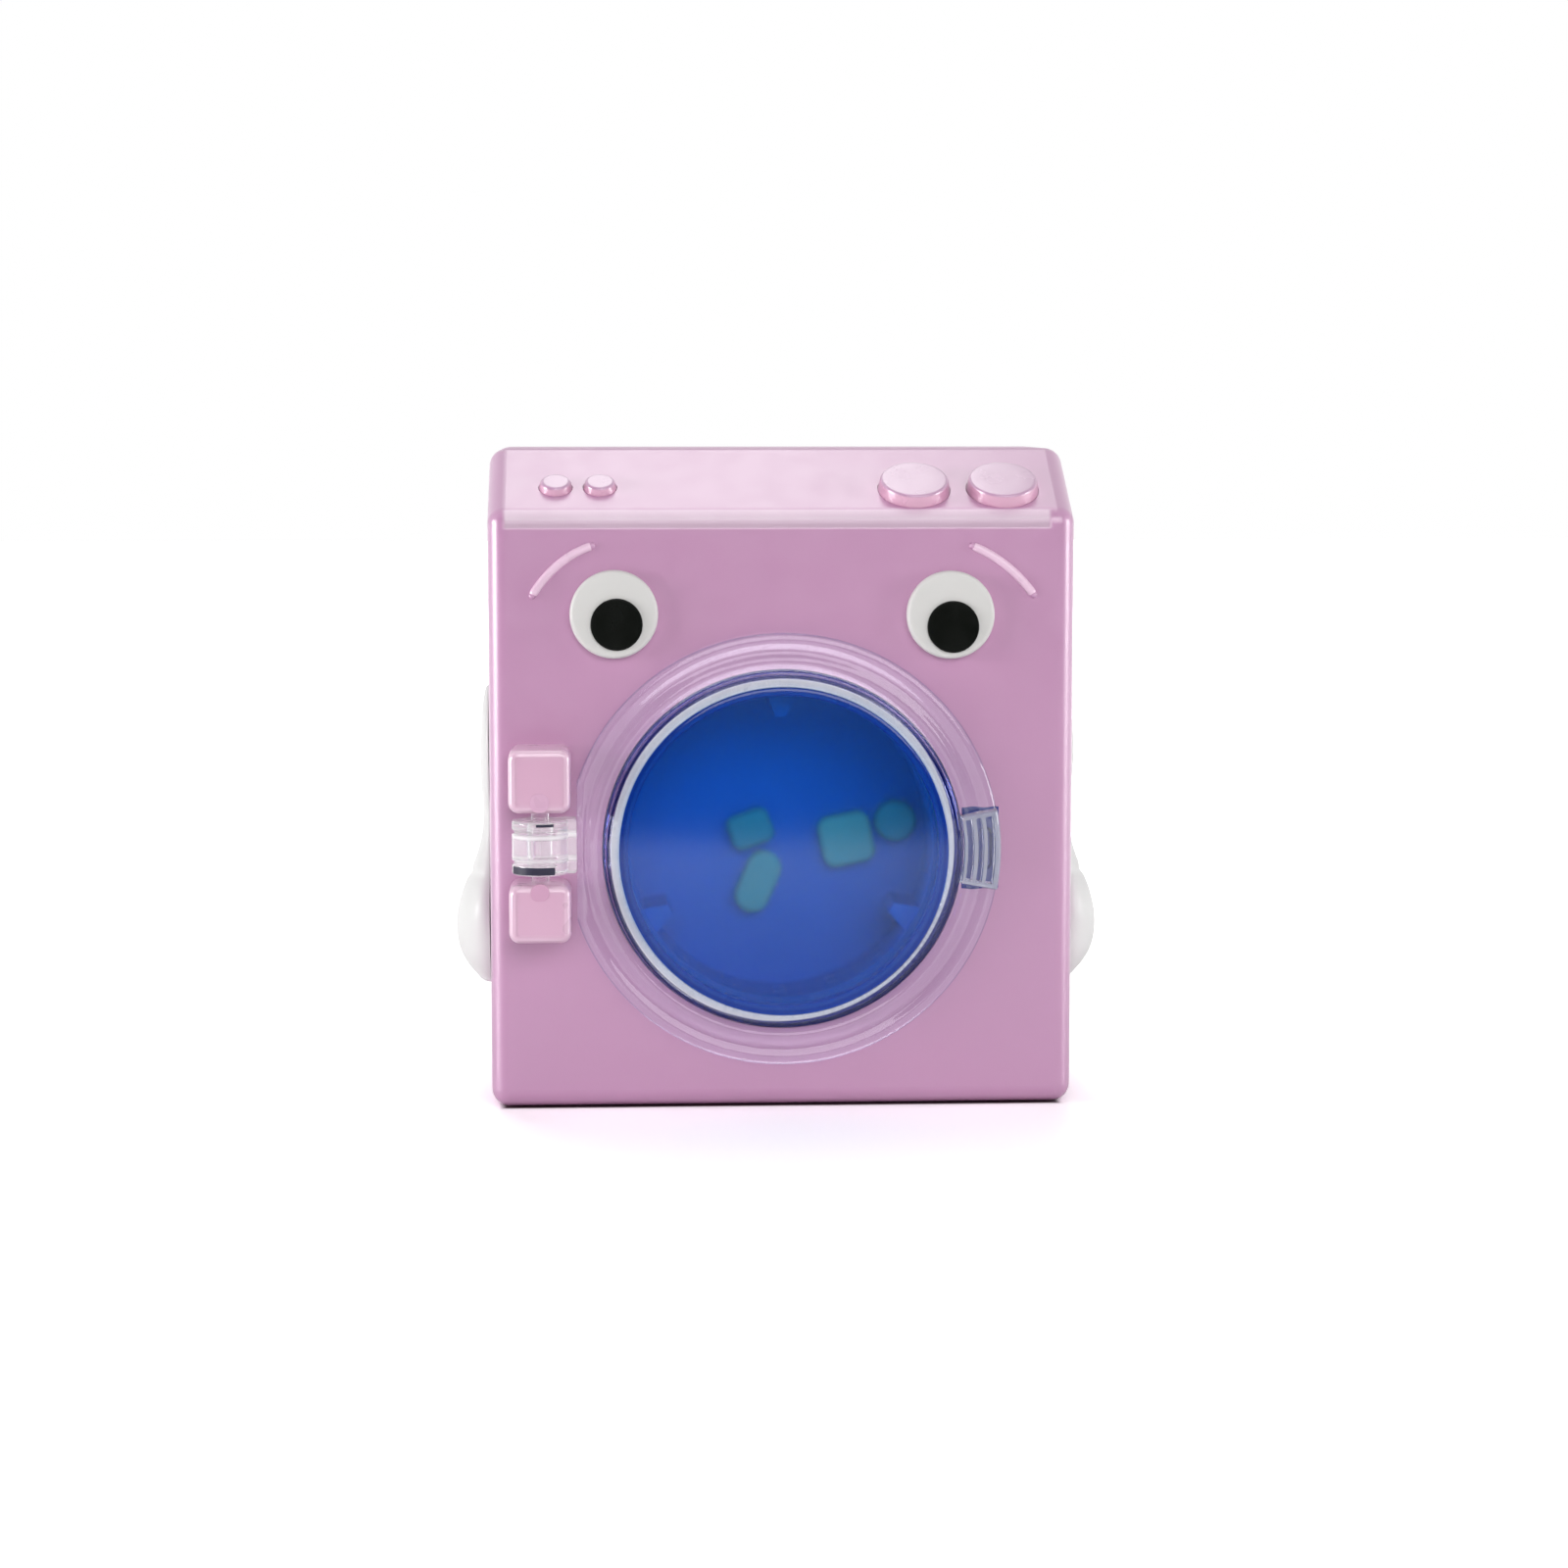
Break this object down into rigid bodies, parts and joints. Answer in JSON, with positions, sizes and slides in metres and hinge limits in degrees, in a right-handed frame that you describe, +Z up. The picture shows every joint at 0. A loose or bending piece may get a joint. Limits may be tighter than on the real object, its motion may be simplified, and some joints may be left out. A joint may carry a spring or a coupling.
{
  "type": "toy washing machine",
  "caption": "Toy washing machine with a hinged round window door, a turning drum with laundry, push buttons on a sloping panel, a plain face and jointed arms.",
  "frame": {"origin": "middle of the cabinet's footprint, on the plane it stands on", "axes": "+Z up; -Y out of the front, the door's side; +X to the right seen from the front, the door's grip side"},
  "size_m": [0.1016, 0.057, 0.1016],
  "materials": {
    "pink_plastic": "moulded pink plastic, soft sheen",
    "button_plastic": "moulded magenta-pink plastic, soft sheen",
    "clear_plastic": "clear moulded plastic",
    "window_plastic": "translucent blue plastic",
    "seal_plastic": "milky soft plastic",
    "navy_plastic": "navy plastic",
    "drum_plastic": "blue plastic",
    "white_plastic": "white plastic, satin",
    "black_plastic": "black plastic",
    "teal_plastic": "teal plastic",
    "yellow_plastic": "yellow plastic",
    "nylon": "off-white nylon",
    "grey_plastic": "grey plastic",
    "dark_plastic": "dark plastic",
    "rubber": "soft grey rubber",
    "board": "green board",
    "steel": "plated steel",
    "cell_wrap": "wrapped steel can",
    "brass": "brass"
  },
  "bodies": {
    "cabinet": {"housing": "pink_plastic", "base_sheet": "rubber", "rear_cover": "pink_plastic", "cover_screws": "steel", "battery_door": "pink_plastic", "battery_door_screw": "steel", "battery_lower": "cell_wrap", "battery_upper": "cell_wrap", "battery_links": "steel", "battery_contacts": "steel", "speaker": "dark_plastic", "tub": "navy_plastic", "tub_screws": "steel", "bush_front": "brass", "bush_rear": "brass", "gear_cover": "grey_plastic", "gear_cover_screws": "steel", "idler_pin": "steel", "motor": "steel", "latch_keeper": "navy_plastic", "hinge_lug_lower": "pink_plastic", "hinge_lug_upper": "pink_plastic", "eye_left": "white_plastic", "eye_right": "white_plastic", "pupil_left": "black_plastic", "pupil_right": "black_plastic", "key_pad": "rubber", "switch_board": "board", "board_screws": "steel"},
    "door": {"door_ring": "clear_plastic", "door_window": "window_plastic", "window_seal": "seal_plastic", "hinge_pin": "steel"},
    "drum": {"drum": "drum_plastic", "drum_shaft": "steel", "drum_gear": "nylon", "laundry_sock_cuff": "teal_plastic", "laundry_sock_foot": "yellow_plastic", "laundry_shirt": "yellow_plastic", "laundry_sleeve": "teal_plastic"},
    "idler": {"idler_gear": "nylon"},
    "motor_rotor": {"motor_shaft": "steel", "motor_pinion": "brass"},
    "button_small_left": {"button_small_left": "button_plastic"},
    "button_small_right": {"button_small_right": "button_plastic"},
    "button_big_left": {"button_big_left": "button_plastic"},
    "button_big_right": {"button_big_right": "button_plastic"},
    "arm_left": {"arm_left": "white_plastic", "arm_clip_left": "white_plastic"},
    "arm_right": {"arm_right": "white_plastic", "arm_clip_right": "white_plastic"}
  },
  "joints": [
    {"name": "door_hinge", "type": "hinge", "parent": "cabinet", "child": "door", "pos_m": [-0.0372, -0.0287, 0.04155], "axis": [0, 0, -1], "range_deg": [0, 110]},
    {"name": "drum_spin", "type": "hinge", "parent": "cabinet", "child": "drum", "pos_m": [0, 0, 0.0404], "axis": [0, 1, 0], "continuous": true},
    {"name": "idler_spin", "type": "hinge", "parent": "cabinet", "child": "idler", "pos_m": [0, 0, 0.0555], "axis": [0, 1, 0], "continuous": true},
    {"name": "motor_spin", "type": "hinge", "parent": "cabinet", "child": "motor_rotor", "pos_m": [0, 0, 0.0656], "axis": [0, 1, 0], "continuous": true},
    {"name": "button_small_left_press", "type": "slide", "parent": "cabinet", "child": "button_small_left", "axis": [0, 0.4848, -0.8746], "range_m": [0, 0.001], "stiffness_N_per_m": 400, "springref_m": -0.0005, "deforming": ["key_pad"]},
    {"name": "button_small_right_press", "type": "slide", "parent": "cabinet", "child": "button_small_right", "axis": [0, 0.4848, -0.8746], "range_m": [0, 0.001], "stiffness_N_per_m": 400, "springref_m": -0.0005, "deforming": ["key_pad"]},
    {"name": "button_big_left_press", "type": "slide", "parent": "cabinet", "child": "button_big_left", "axis": [0, 0.4848, -0.8746], "range_m": [0, 0.001], "stiffness_N_per_m": 400, "springref_m": -0.0005, "deforming": ["key_pad"]},
    {"name": "button_big_right_press", "type": "slide", "parent": "cabinet", "child": "button_big_right", "axis": [0, 0.4848, -0.8746], "range_m": [0, 0.001], "stiffness_N_per_m": 400, "springref_m": -0.0005, "deforming": ["key_pad"]},
    {"name": "arm_left_swing", "type": "hinge", "parent": "cabinet", "child": "arm_left", "pos_m": [-0.045, -0.006, 0.0552], "axis": [-1, 0, 0], "range_deg": [-60, 170]},
    {"name": "arm_right_swing", "type": "hinge", "parent": "cabinet", "child": "arm_right", "pos_m": [0.045, -0.006, 0.0552], "axis": [-1, 0, 0], "range_deg": [-60, 170]}
  ],
  "couplings": [
    {"joint": "idler_spin", "follows": "drum_spin", "ratio": -4},
    {"joint": "motor_spin", "follows": "drum_spin", "ratio": 12}
  ]
}
